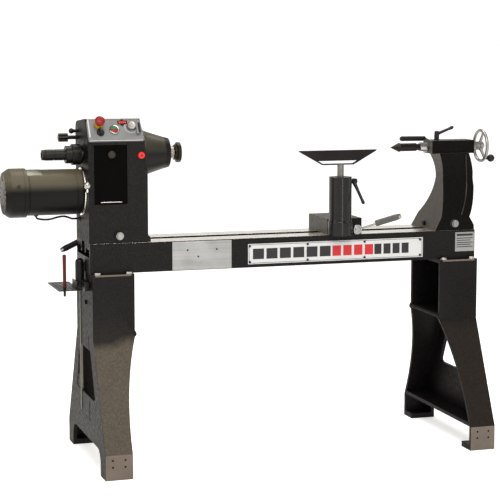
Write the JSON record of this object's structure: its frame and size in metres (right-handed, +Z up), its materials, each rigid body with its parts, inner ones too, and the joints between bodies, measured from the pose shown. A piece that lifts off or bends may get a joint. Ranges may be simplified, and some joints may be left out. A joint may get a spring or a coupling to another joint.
{
  "type": "wood lathe",
  "caption": "Floor-standing wood-turning lathe with a sliding headstock, tool rest on a banjo and a tailstock on a slotted bed held up by splayed cast legs.",
  "frame": {"origin": "on the floor, under the middle of the machine's overall length and depth", "axes": "+X along the bed from headstock to tailstock, +Y away from the operator, +Z up"},
  "size_m": [1.8594, 0.619, 1.2355],
  "materials": {
    "cast_paint": "black textured enamel on cast iron",
    "ground_iron": "ground ways, painted sides",
    "brushed_plate": "brushed",
    "silver_panel": "satin silver",
    "satin_black": "satin black enamel",
    "black_plastic": "moulded",
    "black_rubber": "moulded",
    "steel": "turned and ground",
    "chrome": "polished plate",
    "dark_steel": "blackened",
    "red_plastic": "moulded",
    "green_plastic": "moulded",
    "yellow_plastic": "moulded"
  },
  "bodies": {
    "stand": {"headstock_leg": "cast_paint", "tailstock_leg": "cast_paint", "bed": "ground_iron", "side_plate": "brushed_plate", "name_plate": "silver_panel", "spec_plate": "brushed_plate", "shelf_bracket": "black_plastic", "tool_shelf": "dark_steel"},
    "knockout_bar": {"knockout_bar": "red_plastic"},
    "headstock": {"headstock_casting": "cast_paint", "front_bearing": "steel", "rear_bearing": "steel", "drive_belt": "black_rubber", "headstock_clamp": "dark_steel", "control_panel": "silver_panel", "stop_collar": "yellow_plastic"},
    "spindle": {"spindle": "steel", "faceplate": "dark_steel", "outboard_collar": "satin_black", "outboard_sleeve": "satin_black", "spindle_pulley": "brushed_plate"},
    "motor_mount": {"motor_plate": "steel", "motor_body": "satin_black", "fan_cover": "satin_black", "tension_lever": "chrome", "motor_lead": "black_rubber"},
    "motor_rotor": {"motor_rotor": "dark_steel", "motor_pulley": "brushed_plate"},
    "headstock_lever": {"headstock_lever": "chrome"},
    "access_door": {"access_door": "satin_black", "door_knob": "black_plastic"},
    "spindle_lock": {"spindle_lock_button": "red_plastic"},
    "emergency_stop": {"emergency_stop": "red_plastic"},
    "direction_switch": {"direction_switch": "black_plastic"},
    "start_button": {"start_button": "green_plastic"},
    "stop_button": {"stop_button": "red_plastic"},
    "speed_dial": {"speed_dial": "silver_panel"},
    "index_pin": {"index_pin": "black_plastic"},
    "clamp_knob": {"clamp_knob": "black_plastic"},
    "banjo_clamp": {"banjo_clamp": "dark_steel"},
    "banjo_saddle": {"banjo_saddle": "dark_steel"},
    "banjo": {"banjo": "cast_paint"},
    "banjo_lever": {"banjo_lever": "chrome"},
    "rest_bushing": {"rest_bushing": "steel"},
    "tool_rest": {"tool_rest": "dark_steel"},
    "rest_lock_lever": {"rest_lock_lever": "black_plastic"},
    "tailstock": {"tailstock_casting": "cast_paint", "tailstock_clamp": "dark_steel"},
    "tailstock_lever": {"tailstock_lever": "chrome"},
    "quill": {"quill": "chrome"},
    "live_centre": {"live_centre": "dark_steel"},
    "handwheel": {"handwheel": "chrome", "quill_screw": "steel"},
    "wheel_handle": {"wheel_handle": "black_plastic"},
    "quill_lock_lever": {"quill_lock_lever": "black_plastic"},
    "barrel_clamp_lever": {"barrel_clamp_lever": "black_plastic"}
  },
  "joints": [
    {"name": "knockout_bar_lift", "type": "slide", "parent": "stand", "child": "knockout_bar", "axis": [0, 0, 1], "range_m": [0, 0.12]},
    {"name": "headstock_slide", "type": "slide", "parent": "stand", "child": "headstock", "axis": [1, 0, 0], "range_m": [0, 0.35]},
    {"name": "spindle_turn", "type": "hinge", "parent": "headstock", "child": "spindle", "pos_m": [-0.35365, 0, 1.098], "axis": [1, 0, 0], "continuous": true},
    {"name": "motor_swing", "type": "hinge", "parent": "headstock", "child": "motor_mount", "pos_m": [-0.65265, 0.094, 0.968], "axis": [-1, 0, 0], "range_deg": [0, 3]},
    {"name": "motor_turn", "type": "hinge", "parent": "motor_mount", "child": "motor_rotor", "pos_m": [-0.70865, 0, 0.968], "axis": [1, 0, 0], "continuous": true},
    {"name": "headstock_lever_turn", "type": "hinge", "parent": "headstock", "child": "headstock_lever", "pos_m": [-0.54065, 0.128, 0.818], "axis": [0, 1, 0], "range_deg": [0, 75]},
    {"name": "access_door_hinge", "type": "hinge", "parent": "headstock", "child": "access_door", "pos_m": [-0.56965, -0.107, 0.93287], "axis": [1, 0, 0], "range_deg": [0, 100]},
    {"name": "spindle_lock_push", "type": "slide", "parent": "headstock", "child": "spindle_lock", "axis": [0, 1, 0], "range_m": [0, 0.006], "stiffness_N_per_m": 600},
    {"name": "emergency_stop_push", "type": "slide", "parent": "headstock", "child": "emergency_stop", "axis": [0, 0.8387, -0.5446], "range_m": [0, 0.005], "stiffness_N_per_m": 600},
    {"name": "start_push", "type": "slide", "parent": "headstock", "child": "start_button", "axis": [0, 0.8387, -0.5446], "range_m": [0, 0.003], "stiffness_N_per_m": 600},
    {"name": "stop_push", "type": "slide", "parent": "headstock", "child": "stop_button", "axis": [0, 0.8387, -0.5446], "range_m": [0, 0.003], "stiffness_N_per_m": 600},
    {"name": "direction_turn", "type": "hinge", "parent": "headstock", "child": "direction_switch", "pos_m": [-0.60165, -0.08748, 1.17439], "axis": [0, -0.8387, 0.5446], "range_deg": [-45, 45]},
    {"name": "speed_turn", "type": "hinge", "parent": "headstock", "child": "speed_dial", "pos_m": [-0.49165, -0.07713, 1.19032], "axis": [0, -0.8387, 0.5446], "range_deg": [0, 270]},
    {"name": "index_pin_pull", "type": "slide", "parent": "headstock", "child": "index_pin", "axis": [-1, 0, 0], "range_m": [0, 0.01], "stiffness_N_per_m": 500},
    {"name": "clamp_knob_turn", "type": "hinge", "parent": "headstock", "child": "clamp_knob", "pos_m": [-0.69865, 0.07, 1.154], "axis": [1, 0, 0], "range_deg": [-180, 180]},
    {"name": "banjo_slide_along", "type": "slide", "parent": "stand", "child": "banjo_clamp", "axis": [1, 0, 0], "range_m": [-0.4, 0.1]},
    {"name": "banjo_swivel", "type": "hinge", "parent": "banjo_clamp", "child": "banjo_saddle", "pos_m": [0.34135, 0, 0.803], "axis": [0, 0, 1], "range_deg": [-35, 35]},
    {"name": "banjo_slide_across", "type": "slide", "parent": "banjo_saddle", "child": "banjo", "axis": [0, 1, 0], "range_m": [-0.06, 0.045]},
    {"name": "banjo_lever_turn", "type": "hinge", "parent": "banjo", "child": "banjo_lever", "pos_m": [0.34135, -0.12, 0.812], "axis": [0, 1, 0], "range_deg": [-60, 3]},
    {"name": "rest_swivel", "type": "hinge", "parent": "banjo", "child": "rest_bushing", "pos_m": [0.27435, -0.125, 0.93], "axis": [0, 0, 1], "range_deg": [-90, 90]},
    {"name": "rest_height", "type": "slide", "parent": "rest_bushing", "child": "tool_rest", "axis": [0, 0, 1], "range_m": [-0.035, 0.05]},
    {"name": "rest_lock_turn", "type": "hinge", "parent": "banjo", "child": "rest_lock_lever", "pos_m": [0.32535, -0.125, 0.988], "axis": [1, 0, 0], "range_deg": [-60, 60]},
    {"name": "tailstock_slide", "type": "slide", "parent": "stand", "child": "tailstock", "axis": [1, 0, 0], "range_m": [-0.12, 0]},
    {"name": "tailstock_lever_turn", "type": "hinge", "parent": "tailstock", "child": "tailstock_lever", "pos_m": [0.73635, 0.128, 0.818], "axis": [0, 1, 0], "range_deg": [0, 75]},
    {"name": "quill_slide", "type": "slide", "parent": "tailstock", "child": "quill", "axis": [-1, 0, 0], "range_m": [-0.0201, 0.0801]},
    {"name": "live_centre_turn", "type": "hinge", "parent": "quill", "child": "live_centre", "pos_m": [0.58635, 0, 1.098], "axis": [1, 0, 0], "continuous": true},
    {"name": "handwheel_turn", "type": "hinge", "parent": "tailstock", "child": "handwheel", "pos_m": [0.88935, 0, 1.098], "axis": [-1, 0, 0], "range_deg": [-1440, 5760]},
    {"name": "wheel_handle_turn", "type": "hinge", "parent": "handwheel", "child": "wheel_handle", "pos_m": [0.90935, -0.0354, 1.05269], "axis": [1, 0, 0], "continuous": true},
    {"name": "quill_lock_turn", "type": "hinge", "parent": "tailstock", "child": "quill_lock_lever", "pos_m": [0.70735, 0, 1.138], "axis": [0, 0, 1], "range_deg": [-70, 70]},
    {"name": "barrel_clamp_turn", "type": "hinge", "parent": "tailstock", "child": "barrel_clamp_lever", "pos_m": [0.71135, 0.06, 1.111], "axis": [0, 1, 0], "range_deg": [-10, 60]}
  ],
  "couplings": [
    {"joint": "spindle_turn", "follows": "motor_turn", "ratio": 0.53846},
    {"joint": "quill_slide", "follows": "handwheel_turn", "m_per_rad": 0.00079577}
  ]
}
